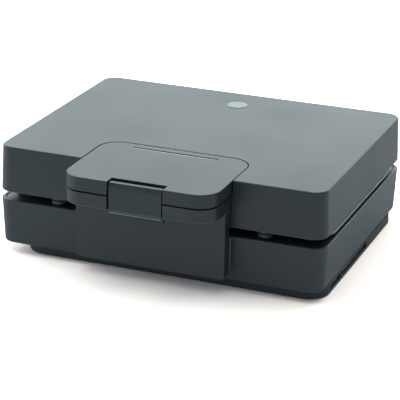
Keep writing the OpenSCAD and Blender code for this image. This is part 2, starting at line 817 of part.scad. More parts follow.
// Three-pole terminal block on the bottom cover.
module terminal_block() {
    pole_w = 10;
    color("ivory") at_body() translate([inlet_x, back_y - 40, floor_z]) difference() {
        translate([-1.5 * pole_w, -8, 0]) cube([3 * pole_w, 16, 12]);
        for (i = [-1 : 1]) translate([i * pole_w, 0, 5]) rotate([90, 0, 0])
            cylinder(r = 2.2, h = 20, center = true);
        for (i = [-1 : 1], y = [-5, 5]) translate([i * pole_w, y, 6]) cylinder(r = 1.8, h = 10);
    }
}

// Rubber gland in the back wall that the mains lead comes through.
gland_r = 8;
inlet_z = base_z + 0.45 * base_h;
gland_out = 7;
module inlet_gland() {
    lip = 2.4;
    wall_out = base_back(inlet_z);
    wall_in = inner_d / 2;
    color(rubber_black) at_body() translate([inlet_x, 0, inlet_z]) rotate([-90, 0, 0]) difference() {
        union() {
            translate([0, 0, wall_in - lip - 0.1]) cylinder(r = gland_r + 1.5, h = lip);
            translate([0, 0, wall_in - 0.2]) cylinder(r = gland_r, h = wall_out - wall_in + 0.8);
            translate([0, 0, wall_out + 0.4]) cylinder(r1 = gland_r + 2, r2 = inlet_r + 2, h = gland_out);
        }
        translate([0, 0, wall_in - lip - over]) cylinder(r = inlet_r, h = gland_out + 20);
    }
}

// ---- hinges ----

// Bracket on the lower housing's back wall: a block with two ears round the lid arm's knuckle.
module hinge_bracket(x) {
    outer_w = knuckle_w + 2 * (slip + ear_t);
    foot_low = base_z + 0.3 * base_h;
    block_high = mid_z - knuckle_r - knuckle_room;
    color(slate) at_body() translate([x * hinge_spread / 2, 0, 0]) difference() {
        union() {
            side_profile([[base_back(foot_low), foot_low], [base_back(block_high), block_high],
                [hinge_y + knuckle_r * 0.8, block_high], [hinge_y + knuckle_r * 0.8, block_high - bracket_t],
                [base_back(foot_low) + bracket_foot, foot_low]], outer_w);
            for (s = [-1, 1]) translate([s * (knuckle_w / 2 + slip + ear_t / 2), 0, 0]) {
                side_profile([[base_back(block_high) , block_high - over], [back_y, base_top - 0.5],
                    [hinge_y - knuckle_r * 0.8, mid_z], [hinge_y + knuckle_r * 0.8, mid_z],
                    [hinge_y + knuckle_r * 0.8, block_high - over]], ear_t);
                x_rod(knuckle_r, ear_t, hinge_y, mid_z);
            }
        }
        x_rod(hinge_pin_r + run_fit, outer_w + 2, hinge_y, mid_z);
    }
}

module hinge_pin(x) {
    pin_l = knuckle_w + 2 * (slip + ear_t);
    color(steel) at_body() translate([x * hinge_spread / 2, 0, 0]) {
        x_rod(hinge_pin_r, pin_l, hinge_y, mid_z);
        translate([(pin_l + pin_head_t) / 2, 0, 0])
            x_rod(hinge_pin_r + pin_head_rim, pin_head_t, hinge_y, mid_z);
    }
}

// Arm on the lid's back wall that ends in a knuckle round the hinge pin.
module hinge_arm(x) {
    low = lid_z + arm_lift;
    high = lid_z + 0.65 * lid_h;
    color(slate) at_body() translate([x * hinge_spread / 2, 0, 0]) difference() {
        union() {
            side_profile([[lid_back(low), low], [lid_back(high), high], [lid_back(high) + arm_tip, high],
                [hinge_y + knuckle_r * 0.92, mid_z + knuckle_r * 0.39], [hinge_y, mid_z],
                [hinge_y - knuckle_r * 0.7, mid_z + knuckle_r * 0.7]], knuckle_w);
            x_rod(knuckle_r, knuckle_w, hinge_y, mid_z);
        }
        x_rod(hinge_pin_r + run_fit, knuckle_w + 2, hinge_y, mid_z);
    }
}

// ---- lid ----

module lid_cover() {
    pocket_w = handle_w + 2 * handle_seam;
    pocket_len = handle_out + handle_in + handle_seam;
    post_low = lid_z + deck_drop + deck_t;
    color(slate) at_body() difference() {
        union() {
            difference() {
                drafted_block(body_w, body_d, corner_r, lid_z, lid_h, 0, draft, rim_edge_r, top_edge_r);
                rounded_block(inner_w, inner_d, inner_r, lid_z - over, lid_h - wall + over);
            }
            // walls and floor of the pocket that holds the handle pad
            translate([-pocket_w / 2 - wall, -inner_d / 2 - wall / 2, handle_floor - wall])
                cube([pocket_w + 2 * wall, handle_in + wall, upper_handle_t + wall / 2]);
            at_posts() translate([0, 0, post_low]) cylinder(r = post_r, h = lid_top - wall / 2 - post_low);
        }
        // pocket
        translate([0, pad_y + handle_seam - pocket_len / 2, 0])
            rounded_block(pocket_w, pocket_len, handle_r + handle_seam, handle_floor, upper_handle_t + over);
        at_posts() translate([0, 0, post_low - over]) cylinder(r = screw_r + run_fit, h = screw_l + over);
        at_pad_screws() translate([0, 0, handle_floor - wall - over])
            cylinder(r = hole_r, h = wall + 2 * over);
        // window for the light strip
        translate([-guide_l / 2 - slot_end, lens_y - guide_w / 2 - slip / 2, handle_floor - wall - over])
            cube([guide_l + 2 * slot_end, guide_w + slip, wall + 2 * over]);
        translate([0, back_y - badge_back, lid_top - badge_seat])
            cylinder(r = badge_r + slip / 2, h = over + badge_seat);
    }
}

// Screws that come up through the pocket's floor into the handle pad.
module at_pad_screws() {
    for (x = [-handle_w / 2 + 16, handle_w / 2 - 16], y = [front_y + 14, pad_y - 22])
        translate([x, y, 0]) children();
}

module upper_handle_screws() {
    color(steel) at_body() at_pad_screws() translate([0, 0, handle_floor - wall]) screw(screw_l);
}

// Upper half of the handle: a thick pad let into the lid's top, with a notch for the latch.
module upper_handle() {
    pad_len = handle_out + handle_in;
    color(slate) at_body() difference() {
        translate([0, (grip_y + pad_y) / 2, 0])
            drafted_block(handle_w, pad_len, handle_r, handle_floor, upper_handle_t, 0, handle_draft,
                handle_edge_r / 2, handle_edge_r);
        translate([-notch_w / 2, grip_y - over, handle_floor - over])
            cube([notch_w, notch_depth + over, upper_handle_t + 2 * over]);
        x_rod(latch_pin_r + run_fit, notch_w + 2 * latch_pin_seat, pivot_y, pivot_z);
        at_pad_screws() translate([0, 0, handle_floor - over])
            cylinder(r = screw_r + run_fit, h = screw_l - wall + over + 0.5);
        // slot for the light strip
        translate([0, light_y, lid_top - light_depth]) linear_extrude(light_depth + over)
            rounded(light_l, light_w, 1);
        translate([-guide_l / 2 - slot_end, lens_y - guide_w / 2 - slip / 2, handle_floor - over])
            cube([guide_l + 2 * slot_end, guide_w + slip, upper_handle_t]);
    }
}

// Clear strip along the front half of its slot, with a thin guide that reaches down to the board.
module indicator_lens() {
    lens_z = lid_top - light_depth;
    color("white") at_body() {
        translate([-light_l / 2 + lens_end, lens_y - lens_w / 2, lens_z])
            cube([light_l - 2 * lens_end, lens_w, light_depth - lens_drop]);
        translate([-guide_l / 2, lens_y - guide_w / 2, handle_floor - wall])
            cube([guide_l, guide_w, lens_z - handle_floor + wall]);
    }
}

// Light board under the pocket's floor, with its row of light chips.
module indicator_board() {
    board_top = handle_floor - wall - led_h;
    color("darkgreen") at_body() translate([-light_l / 2, lens_y - board_w / 2, board_top - board_t])
        cube([light_l, board_w, board_t]);
    color("white") at_body()
        for (i = [-2 : 2]) translate([i * light_l / 6 - led_l / 2, lens_y - led_w / 2, board_top])
            cube([led_l, led_w, led_h - led_gap]);
}

module badge_disc() {
    color(steel) at_body() translate([0, back_y - badge_back, lid_top - badge_seat]) {
        cylinder(r = badge_r, h = badge_t);
        translate([0, 0, badge_t])
            cylinder(r1 = badge_r, r2 = badge_r - badge_slope, h = badge_rim);
    }
}

// Frame that closes the lid from below and carries the upper plate.
module lid_frame() {
    color(dark_slate) at_body() flip_up() difference() {
        union() {
            rounded_block(inner_w - 2 * slip, inner_d - 2 * slip, inner_r - slip, deck_z - deck_t, deck_t);
            deck_fittings(upper_face);
        }
        deck_holes();
        at_posts() {
            translate([0, 0, deck_z - deck_t - over]) cylinder(r = hole_r, h = deck_t + 2 * over);
            translate([0, 0, deck_z - head_t]) cylinder(r = head_r + 0.4, h = head_t + over);
        }
    }
}

module lid_screws() {
    color(steel) at_body() at_posts() translate([0, 0, 2 * mid_z - deck_z + head_t]) screw(screw_l);
}

module upper_plate() {
    at_body() flip_up() waffle_plate(upper_face, upper_flange_side, upper_flange_front);
}

module upper_element() {
    at_body() flip_up() heating_rod(upper_face);
}

module upper_element_cradles() {
    at_body() flip_up() rod_cradles(upper_face);
}

module upper_reflector() {
    at_body() flip_up() reflector_tray(upper_face);
}

// ---- latch ----

// Sprung latch: a front wall that leans back at its top, two knuckles and a nose behind its lower edge.
module latch() {
    face_y = grip_y + latch_lip;
    wall_back = face_y + latch_t;
    nose_top = lower_handle_z + 2;
    lean = 3.6;
    curve_h = 6;
    curve_steps = 5;
    // the front face rolls back over its top curve_h millimetres
    function roll(z) = z < latch_top - curve_h ? 0 : lean * pow((z - latch_top + curve_h) / curve_h, 2);
    heights = [for (i = [0 : curve_steps]) latch_top - curve_h * (1 - i / curve_steps)];
    front = [for (z = heights) [face_y + roll(z), z]];
    back = [for (i = [curve_steps : -1 : 0]) [wall_back + roll(heights[i]) - 0.1 * i, heights[i]]];
    color(slate) at_body() difference() {
        union() {
            side_profile(concat([[grip_y + 6.5, latch_low], [grip_y + 0.3, latch_low + 5.6],
                [grip_y, latch_low + 6], [grip_y, latch_low + 6.4], [face_y, latch_low + 6.4 + latch_lip]],
                front, back,
                [[wall_back, nose_top + 1], [nose_y - 1.2, nose_top + 1], [nose_y, nose_top],
                [nose_y, nose_top - 3], [nose_y - 0.8, latch_low]]), latch_w);
            for (x = [-1, 1]) translate([x * (latch_w / 2 - 9), 0, 0]) {
                x_rod(latch_knuckle_r, 12, pivot_y, pivot_z);
                side_profile([[face_y + 1, pivot_z - latch_knuckle_r], [pivot_y, pivot_z - latch_knuckle_r],
                    [pivot_y, pivot_z + latch_knuckle_r * 0.7],
                    [face_y + 1, pivot_z + latch_knuckle_r * 0.7]], 12);
            }
        }
        x_rod(latch_pin_r + run_fit, latch_w + 2, pivot_y, pivot_z);
    }
}

module latch_pin() {
    color(steel) at_body() x_rod(latch_pin_r, notch_w + 2 * latch_pin_seat - 0.5, pivot_y, pivot_z);
}

// Torsion spring round the middle of the pin: one leg on the notch, the other behind the latch.
module latch_spring() {
    turns = 4.5;
    coil_w = 2 * turns;
    coil = [for (i = [0 : turns * 12]) let (a = 360 * i / 12)
        [-coil_w / 2 + coil_w * i / (turns * 12), pivot_y + coil_r * cos(a), pivot_z + coil_r * sin(a)]];
    leg_back = [-coil_w / 2, notch_y - coil_wire - 0.1, pivot_z - 5];
    leg_down = [coil_w / 2, pivot_y - coil_r - 0.1, pivot_z - 9];
    color(steel) at_body() wire(concat([leg_back], coil, [leg_down]), coil_wire, 5);
}

// ---- nodes ----

base_shell();
bottom_cover();
foot(-1, -1);  // foot_front_left
foot(1, -1);  // foot_front_right
foot(-1, 1);  // foot_back_left
foot(1, 1);  // foot_back_right
lower_handle();
lower_handle_screws();
lower_plate();
lower_element();
lower_element_cradles();
lower_reflector();
thermostat();
thermal_fuse();
terminal_block();
inlet_gland();
hinge_bracket(-1);  // hinge_bracket_left
hinge_bracket(1);  // hinge_bracket_right
hinge_pin(-1);  // hinge_pin_left
hinge_pin(1);  // hinge_pin_right
base_screws();
at_body() release_button(-button_x);  // lower_button_left
at_body() release_button(button_x);  // lower_button_right
at_body() button_spring(-button_x);  // lower_spring_left
at_body() button_spring(button_x);  // lower_spring_right
lid_cover();
lid_frame();
upper_handle();
upper_handle_screws();
indicator_lens();
indicator_board();
badge_disc();
upper_plate();
upper_element();
upper_element_cradles();
upper_reflector();
hinge_arm(-1);  // hinge_arm_left
hinge_arm(1);  // hinge_arm_right
lid_screws();
at_body() flip_up() release_button(-button_x);  // upper_button_left
at_body() flip_up() release_button(button_x);  // upper_button_right
at_body() flip_up() button_spring(-button_x);  // upper_spring_left
at_body() flip_up() button_spring(button_x);  // upper_spring_right
latch();
latch_pin();
latch_spring();
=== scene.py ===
# %% [markdown]
# # Dressing a waffle maker
# The solids of this waffle maker come from its CAD source. This lesson loads them as a fixed frame and
# gives every piece the finish of the real one: satin mouldings, non-stick plates, sheet metal and rubber.
# Everything is in metres, +Z is up and the handle faces -Y.

# %% Load the solids
import json
import math
import bmesh
import bpy
from mathutils import Matrix, Vector


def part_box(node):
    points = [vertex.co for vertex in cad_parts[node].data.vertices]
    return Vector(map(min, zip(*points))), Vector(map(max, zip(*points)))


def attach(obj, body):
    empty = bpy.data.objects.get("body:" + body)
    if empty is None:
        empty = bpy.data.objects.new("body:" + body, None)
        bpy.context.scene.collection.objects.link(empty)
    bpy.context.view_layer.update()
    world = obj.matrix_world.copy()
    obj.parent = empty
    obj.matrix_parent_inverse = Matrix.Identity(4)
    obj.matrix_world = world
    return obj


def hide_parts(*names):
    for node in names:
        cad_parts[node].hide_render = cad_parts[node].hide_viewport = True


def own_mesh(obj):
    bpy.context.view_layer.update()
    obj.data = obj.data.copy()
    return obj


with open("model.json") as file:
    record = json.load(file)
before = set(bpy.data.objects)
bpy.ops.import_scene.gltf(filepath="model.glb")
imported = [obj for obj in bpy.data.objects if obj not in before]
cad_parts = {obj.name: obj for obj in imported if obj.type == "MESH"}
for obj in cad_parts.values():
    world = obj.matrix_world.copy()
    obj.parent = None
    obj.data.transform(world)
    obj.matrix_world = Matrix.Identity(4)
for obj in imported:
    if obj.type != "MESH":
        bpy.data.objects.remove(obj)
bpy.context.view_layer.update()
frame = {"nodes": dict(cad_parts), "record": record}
solids = frame["nodes"]

# %% [markdown]
# ## Helpers for objects and shader nodes
# An object in Blender is a name and a place for some data: a mesh, a lamp or a camera. A shader is a tree
# of nodes, and each node wants three things: its kind, its settings, and a value or a link for each input.
# One short function for each keeps the steps below free of wiring.

# %% Object and node helpers
def new_object(name, data):
    obj = bpy.data.objects.new(name, data)
    bpy.context.scene.collection.objects.link(obj)
    return obj


def made_mesh(name, bm):
    mesh = bpy.data.meshes.new(name)
    bm.to_mesh(mesh)
    bm.free()
    return mesh


def add_node(tree, kind, inputs=None, **settings):
    """Add a shader node; an input is given an output to link, or else a constant value."""
    node = tree.nodes.new(kind)
    for setting, choice in settings.items():
        setattr(node, setting, choice)
    for key, value in (inputs or {}).items():
        if isinstance(value, bpy.types.NodeSocket):
            tree.links.new(value, node.inputs[key])
        else:
            node.inputs[key].default_value = value
    return node


def shader_mix(tree, factor, first, second):
    """Choose between two shaders: the first where the factor is 0, the second where it is 1."""
    inputs = {"Fac": factor, 1: first.outputs[0], 2: second.outputs[0]}
    return add_node(tree, "ShaderNodeMixShader", inputs)


print("helpers ready")

# %% [markdown]
# ## The camera
# A product is usually pictured with a long lens from a little above, so that its sides stay nearly
# parallel. The camera's place is written as a point, and its turn as three angles. From these we build
# the three axes that Blender's camera matrix wants: right, up and backwards.

# %% Place the camera
CAMERA_POINT = Vector((0.53980, -1.37802, 0.59676))
YAW, PITCH, ROLL = 0.3727, 0.3615, 0.0173
SENSOR = 36.0
PICTURE_WIDTH = 400
FOCAL_IN_PIXELS = 1742.38
FOCAL = FOCAL_IN_PIXELS / PICTURE_WIDTH * SENSOR
NEAREST_SEEN = 0.05

forward = Vector((-math.sin(YAW) * math.cos(PITCH), math.cos(YAW) * math.cos(PITCH), -math.sin(PITCH)))
level_right = Vector((math.cos(YAW), math.sin(YAW), 0.0))
level_up = level_right.cross(forward)
right = math.cos(ROLL) * level_right + math.sin(ROLL) * level_up
up = -math.sin(ROLL) * level_right + math.cos(ROLL) * level_up
turn = Matrix((right, up, -forward)).transposed()

camera_data = bpy.data.cameras.new("product_camera")
camera_data.lens = FOCAL
camera_data.sensor_width = SENSOR
camera_data.clip_start = NEAREST_SEEN
camera = new_object("product_camera", camera_data)
camera.matrix_world = Matrix.Translation(CAMERA_POINT) @ turn.to_4x4()
bpy.context.scene.camera = camera
print("lens", round(FOCAL, 1), "mm")

# %% [markdown]
# ## The world
# The backdrop should look pure white, but a white world would also flood a dark object with light. The
# Light Path node tells what kind of ray is asking, so the world can answer each kind differently: white
# for the camera and for rays that pass through something, and a dim, cool grey for rays that light the
# object or that it mirrors.

# %% World
WHITE = (1.0, 1.0, 1.0)
COOLER = (0.76, 0.90, 1.0)
WORLD_LIGHT, WORLD_MIRRORED = 0.21, 0.28

bpy.context.scene.view_settings.view_transform = "Standard"
world = bpy.data.worlds.new("studio_world")
bpy.context.scene.world = world
world.use_nodes = True
sky = world.node_tree
sky.nodes.clear()


def background(colour, strength):
    return add_node(sky, "ShaderNodeBackground", {"Color": (*colour, 1.0), "Strength": strength})


path = add_node(sky, "ShaderNodeLightPath")
lighting = background(COOLER, WORLD_LIGHT)
mirrored = shader_mix(sky, path.outputs["Is Glossy Ray"], lighting, background(COOLER, WORLD_MIRRORED))
seen_through = shader_mix(sky, path.outputs["Is Transmission Ray"], mirrored, background(WHITE, 1.0))
seen = shader_mix(sky, path.outputs["Is Camera Ray"], seen_through, background(WHITE, 1.0))
add_node(sky, "ShaderNodeOutputWorld", {"Surface": seen.outputs[0]})
print("world ready")

# %% [markdown]
# ## The lamps
# Dark satin plastic is shaped by what it mirrors, more than by the light that falls on it. The lid's top
# is seen at a flat angle, so it mirrors what stands behind it: two wide softboxes there give it its
# sheen. Lamps on the left light the front and the left side, and the right side stays nearly unlit. All
# of them are a little cool, as daylight is.

# %% Lamps
COOL = (0.88, 1.0, 1.0)
LAMPS_FACE = Vector((0.0, 0.0, 0.05))
# Each lamp has a place, a width and height, a brightness and a tint.
SOFTBOXES = {
    "overhead_softbox": ((0.0, 0.1, 1.4), (1.6, 1.2), 1.1, COOL),
    "low_back_softbox": ((0.2, 2.2, 0.6), (3.0, 1.0), 2.5, COOL),
    "high_back_softbox": ((0.2, 2.0, 1.6), (3.0, 0.8), 1.2, COOL),
    "back_left_softbox": ((-1.5, 1.4, 0.8), (1.2, 1.0), 2.9, COOL),
    "left_softbox": ((-1.6, 0.0, 0.8), (1.2, 1.2), 1.9, COOLER),
    "low_left_softbox": ((-1.8, -0.7, 0.4), (0.8, 0.6), 2.4, COOLER),
    "low_front_softbox": ((-0.9, -1.7, 0.35), (0.8, 0.6), 0.2, COOLER),
    "right_softbox": ((1.6, 0.2, 0.8), (1.2, 1.2), 0.1, COOLER),
    "edge_softbox": ((-0.5, -0.6, 1.25), (0.5, 0.5), 1.8, COOL),
}


def softbox(name, place, size, brightness, colour):
    """A rectangular lamp that faces the object; its brightness is 1 where it would look white."""
    data = bpy.data.lights.new(name, "AREA")
    data.shape = "RECTANGLE"
    data.size, data.size_y = size
    data.energy = brightness * math.pi * size[0] * size[1]
    data.color = colour
    lamp = new_object(name, data)
    lamp.location = place
    lamp.rotation_euler = (LAMPS_FACE - Vector(place)).to_track_quat("-Z", "Y").to_euler()
    print(name, round(data.energy, 1), "W")


for name, settings in SOFTBOXES.items():
    softbox(name, *settings)

# %% [markdown]
# ## The floor
# In a studio the object stands on white paper that sweeps up behind it, so that no edge of it shows. A
# wide flat disc is simpler, and it does the same work.

# %% Floor disc
FLOOR_RADIUS = 4.0

floor_bm = bmesh.new()
bmesh.ops.create_circle(floor_bm, cap_ends=True, segments=96, radius=FLOOR_RADIUS)
floor = new_object("studio_floor", made_mesh("studio_floor", floor_bm))
print("floor faces up:", floor.data.polygons[0].normal.z > 0)

# %% [markdown]
# ## Paper near the object
# Close to the object the paper is matt, so it holds the soft shadow. It is brighter and warmer to the
# camera than to the other rays, because paper that is lit to near white would throw too much light back
# on the object. A faint cool glow, which only those other rays meet, stands for the light that a large
# white room sends under the object and up its front.

# %% Matt paper with a glow
FLOOR_FOR_LIGHT = (0.72, 0.71, 0.70)
FLOOR_FOR_CAMERA = (3.00, 2.50, 2.29)
FLOOR_GLOW = 0.15

paper = bpy.data.materials.new("studio_paper")
paper.use_nodes = True
sheet = paper.node_tree
sheet.nodes.clear()
for_camera = add_node(sheet, "ShaderNodeLightPath").outputs["Is Camera Ray"]
tones = {"A": (*FLOOR_FOR_LIGHT, 1.0), "B": (*FLOOR_FOR_CAMERA, 1.0), "Factor": for_camera}
tone = add_node(sheet, "ShaderNodeMix", tones, data_type="RGBA")
matt = add_node(sheet, "ShaderNodeBsdfDiffuse", {"Color": tone.outputs["Result"]})
glow = add_node(sheet, "ShaderNodeEmission", {"Color": (*COOLER, 1.0), "Strength": FLOOR_GLOW})
glowing = add_node(sheet, "ShaderNodeAddShader", {0: matt.outputs[0], 1: glow.outputs[0]})
near_paper = shader_mix(sheet, for_camera, glowing, matt)
print("glow", FLOOR_GLOW)

# %% [markdown]
# ## Paper far from the object
# With distance the paper turns to plain white light for the camera, so the floor runs into the white
# backdrop without a line. Its lower face is clear, as a glass table would be, so a camera under the floor
# sees the feet and the vents.

# %% Sweep to white
SWEEP_START, SWEEP_END = 0.28, 0.9

place = add_node(sheet, "ShaderNodeTexCoord").outputs["Object"]
distance = add_node(sheet, "ShaderNodeVectorMath", {0: place}, operation="LENGTH").outputs["Value"]
limits = {"Value": distance, "From Min": SWEEP_START, "From Max": SWEEP_END}
far_away = add_node(sheet, "ShaderNodeMapRange", limits, interpolation_type="SMOOTHSTEP").outputs["Result"]
far_and_seen = add_node(sheet, "ShaderNodeMath", {0: far_away, 1: for_camera}, operation="MULTIPLY")
sweep = shader_mix(sheet, far_and_seen.outputs[0], near_paper, add_node(sheet, "ShaderNodeEmission"))
lower_face = add_node(sheet, "ShaderNodeNewGeometry").outputs["Backfacing"]
one_way = shader_mix(sheet, lower_face, sweep, add_node(sheet, "ShaderNodeBsdfTransparent"))
add_node(sheet, "ShaderNodeOutputMaterial", {"Surface": one_way.outputs[0]})
floor.data.materials.append(paper)
print("paper is white from", SWEEP_END, "m")

# %% [markdown]
# ## A helper for finishes
# Most finishes here are one Principled shader with three touches: a soft change of colour from cloudy
# noise, a roughness that wanders a little, and a fine bump for the grain. The helper builds these from
# Object coordinates, so the grain has the same size on every piece.

# %% Finish helper
CLOUD_SCALE, CLOUD_DETAIL = 14.0, 3.0
CLOUD_LOW, CLOUD_HIGH = 0.35, 0.65
ROUGH_SPREAD = 0.05
GRAIN_DETAIL = 2.0


def cloudy_tint(tree, clouds, colour, cloud):
    """The finish's colour, a little darker and a little lighter from cloud to cloud."""
    tint = add_node(tree, "ShaderNodeValToRGB", {"Fac": clouds})
    dark, light = tint.color_ramp.elements
    dark.position, light.position = CLOUD_LOW, CLOUD_HIGH
    dark.color = (*(c * (1.0 - cloud) for c in colour), 1.0)
    light.color = (*(min(1.0, c * (1.0 + cloud)) for c in colour), 1.0)
    return tint.outputs["Color"]


def finish(name, colour, rough, metal=0.0, grain=900.0, grain_height=0.00004, cloud=0.06,
           ior=1.5, stretch=(1.0, 1.0, 1.0)):
    mat = bpy.data.materials.new(name)
    mat.use_nodes = True
    tree = mat.node_tree
    shader = tree.nodes["Principled BSDF"]
    shader.inputs["Metallic"].default_value = metal
    shader.inputs["IOR"].default_value = ior
    where = add_node(tree, "ShaderNodeTexCoord").outputs["Object"]
    point = add_node(tree, "ShaderNodeMapping", {"Vector": where, "Scale": stretch}).outputs[0]

    cloud_inputs = {"Vector": point, "Scale": CLOUD_SCALE, "Detail": CLOUD_DETAIL}
    clouds = add_node(tree, "ShaderNodeTexNoise", cloud_inputs).outputs["Fac"]
    tree.links.new(cloudy_tint(tree, clouds, colour, cloud), shader.inputs["Base Color"])
    spread = {"Value": clouds, "To Min": rough - ROUGH_SPREAD, "To Max": rough + ROUGH_SPREAD}
    wander = add_node(tree, "ShaderNodeMapRange", spread)
    tree.links.new(wander.outputs["Result"], shader.inputs["Roughness"])

    grain_inputs = {"Vector": point, "Scale": grain, "Detail": GRAIN_DETAIL}
    fine = add_node(tree, "ShaderNodeTexNoise", grain_inputs).outputs["Fac"]
    bump = add_node(tree, "ShaderNodeBump", {"Height": fine, "Strength": 1.0, "Distance": grain_height})
    tree.links.new(bump.outputs["Normal"], shader.inputs["Normal"])
    return mat


print("finish helper ready")

# %% [markdown]
# ## Plastics and rubber
# The housing is one dark slate plastic with a fine spark-eroded grain. Its refractive index is set a
# little high, which stands for the satin lacquer on it. The rounded edges get a painted highlight: the
# same plastic three times as pale and a little smoother. The buttons are polished, the light strip is
# milky, and the rubber of the feet and of the cord's gland is nearly black and very rough.

# %% Plastic and rubber finishes
SLATE = (0.0178, 0.0246, 0.0326)
SLATE_ROUGH = 0.42
# The two values below make the painted highlight on rounded edges: paler, smoother slate for caught light.
HIGHLIGHT_ROUGH = 0.34
HIGHLIGHT_PALER = 3.0
SLATE_GRAIN = {"grain": 2600.0, "grain_height": 0.00003, "ior": 1.7}

slate_moulding = finish("slate_moulding", SLATE, SLATE_ROUGH, **SLATE_GRAIN)
# A painted highlight: slate three times as pale, for the light that the rounded edges catch.
edge_highlight_slate = finish("edge_highlight_slate", tuple(HIGHLIGHT_PALER * c for c in SLATE), HIGHLIGHT_ROUGH, **SLATE_GRAIN)
inner_moulding = finish("inner_moulding", (0.030, 0.033, 0.035), 0.55, grain=2200.0)
black_moulding = finish("black_moulding", (0.012, 0.012, 0.013), 0.4, grain=2600.0)
button_gloss = finish("button_gloss", (0.150, 0.158, 0.165), 0.14, grain=1500.0, grain_height=0.000005)
milky_strip = finish("milky_strip", (0.62, 0.67, 0.67), 0.3, grain=600.0)
foot_rubber = finish("foot_rubber", (0.014, 0.014, 0.015), 0.75, grain=1200.0, grain_height=0.00008)
print("plastic and rubber finishes ready")

# %% [markdown]
# ## Metals, coating and electrical pieces
# The plates are cast metal under a black non-stick coating. The reflectors and the rods' cradles are
# rolled sheet, so their grain is stretched along one axis. Screws, pins and springs are plated steel, and
# the heating rods are steel that has been hot. The terminal block is ivory and the light's board is green.

# %% Metal, coating and board finishes
ALONG_THE_SHEET = (1.0, 12.0, 1.0)

non_stick = finish("non_stick_coating", (0.026, 0.026, 0.027), 0.36, grain=1500.0, grain_height=0.00002)
rod_steel = finish("sheathed_rod", (0.30, 0.28, 0.26), 0.42, metal=1.0, cloud=0.25)
bright_sheet = finish("bright_sheet", (0.72, 0.72, 0.71), 0.25, metal=1.0, stretch=ALONG_THE_SHEET)
plated_steel = finish("plated_steel", (0.55, 0.55, 0.56), 0.28, metal=1.0)
badge_metal = finish("badge_metal", (0.30, 0.305, 0.31), 0.4, metal=0.6)
board_green = finish("board_green", (0.02, 0.10, 0.045), 0.35)
ivory_block = finish("ivory_block", (0.72, 0.68, 0.56), 0.35)
print("metal, coating and board finishes ready")

# %% [markdown]
# ## Marks of the maker's process
# Flakes, heat and turning leave marks on a surface, and some pale lines here are painted highlights. Each
# mark is one more mix in front of the Base Color, driven by a pattern on Object coordinates. The helpers
# give the point on the object, turn a range of values into 0 to 1, mix the mark's colour in, and find the
# middle of a solid.

# %% Mark helpers
def object_point(mat, centre=(0.0, 0.0, 0.0)):
    where = add_node(mat.node_tree, "ShaderNodeTexCoord").outputs["Object"]
    shift = {"Vector": where, "Location": tuple(-c for c in centre)}
    return add_node(mat.node_tree, "ShaderNodeMapping", shift).outputs["Vector"]


def between(mat, value, low, high):
    """0 where the value is low, 1 where it is high, and a ramp between them."""
    limits = {"Value": value, "From Min": low, "From Max": high}
    return add_node(mat.node_tree, "ShaderNodeMapRange", limits).outputs["Result"]


def mixed_in(mat, pattern, colour):
    """Mix a colour into a finish where the pattern is 1."""
    socket = mat.node_tree.nodes["Principled BSDF"].inputs["Base Color"]
    before = socket.links[0].from_socket
    inputs = {"Factor": pattern, "A": before, "B": (*colour, 1.0)}
    mix = add_node(mat.node_tree, "ShaderNodeMix", inputs, data_type="RGBA")
    mat.node_tree.links.new(mix.outputs["Result"], socket)


def middle_of(node):
    low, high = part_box(node)
    return tuple((a + b) / 2 for a, b in zip(low, high))


print("badge middle", [round(v, 4) for v in middle_of("badge_disc")])

# %% [markdown]
# ## Flakes in the coating
# A non-stick coating is sprayed on with tiny pale flakes in it. A Voronoi texture scatters points evenly,
# and the small area round each point becomes a flake.

# %% Flakes
FLAKES_PER_METRE = 900.0
FLAKE_OUTSIDE, FLAKE_INSIDE = 0.22, 0.12
FLAKE_GREY = (0.13, 0.13, 0.135)

flake_inputs = {"Vector": object_point(non_stick), "Scale": FLAKES_PER_METRE}
flakes = add_node(non_stick.node_tree, "ShaderNodeTexVoronoi", flake_inputs).outputs["Distance"]
mixed_in(non_stick, between(non_stick, flakes, FLAKE_OUTSIDE, FLAKE_INSIDE), FLAKE_GREY)
print("a flake each", round(1000 / FLAKES_PER_METRE, 1), "mm")

# %% [markdown]
# ## The badge's field
# The badge is a turned metal disc without a mark on it. Its field is a shade darker than its rim, so the
# distance from the middle of the disc decides between the two.

# %% Badge field
BADGE_FIELD = (0.27, 0.275, 0.28)
RIM_FROM, FIELD_TO = 0.84, 0.76

badge_low, badge_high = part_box("badge_disc")
badge_radius = (badge_high[0] - badge_low[0]) / 2
badge_point = {0: object_point(badge_metal, middle_of("badge_disc"))}
reach = add_node(badge_metal.node_tree, "ShaderNodeVectorMath", badge_point, operation="LENGTH")
field = between(badge_metal, reach.outputs["Value"], RIM_FROM * badge_radius, FIELD_TO * badge_radius)
mixed_in(badge_metal, field, BADGE_FIELD)
print("badge radius", round(badge_radius, 4))

# %% [markdown]
# ## Heat tint on the rods
# Steel that has been hot turns straw, and blue where it was hotter. One noise texture gives both: its
# high values become straw and its low values blue.

# %% Heat tint
HEAT_SCALE = 30.0
STRAW, STRAW_FROM, STRAW_FULL = (0.24, 0.15, 0.07), 0.50, 0.62
BLUE, BLUE_FROM, BLUE_FULL = (0.10, 0.13, 0.20), 0.42, 0.34

heat_inputs = {"Vector": object_point(rod_steel), "Scale": HEAT_SCALE}
heat = add_node(rod_steel.node_tree, "ShaderNodeTexNoise", heat_inputs).outputs["Fac"]
mixed_in(rod_steel, between(rod_steel, heat, STRAW_FROM, STRAW_FULL), STRAW)
mixed_in(rod_steel, between(rod_steel, heat, BLUE_FROM, BLUE_FULL), BLUE)
print("heat tints mixed into", rod_steel.name)

# %% [markdown]
# ## Painted rim highlights
# The rims of the mouldings catch the light as thin pale lines, and these lines are painted into the
# colour as highlights. Each rim lies at one height, so the distance from that height along Z draws the
# line.

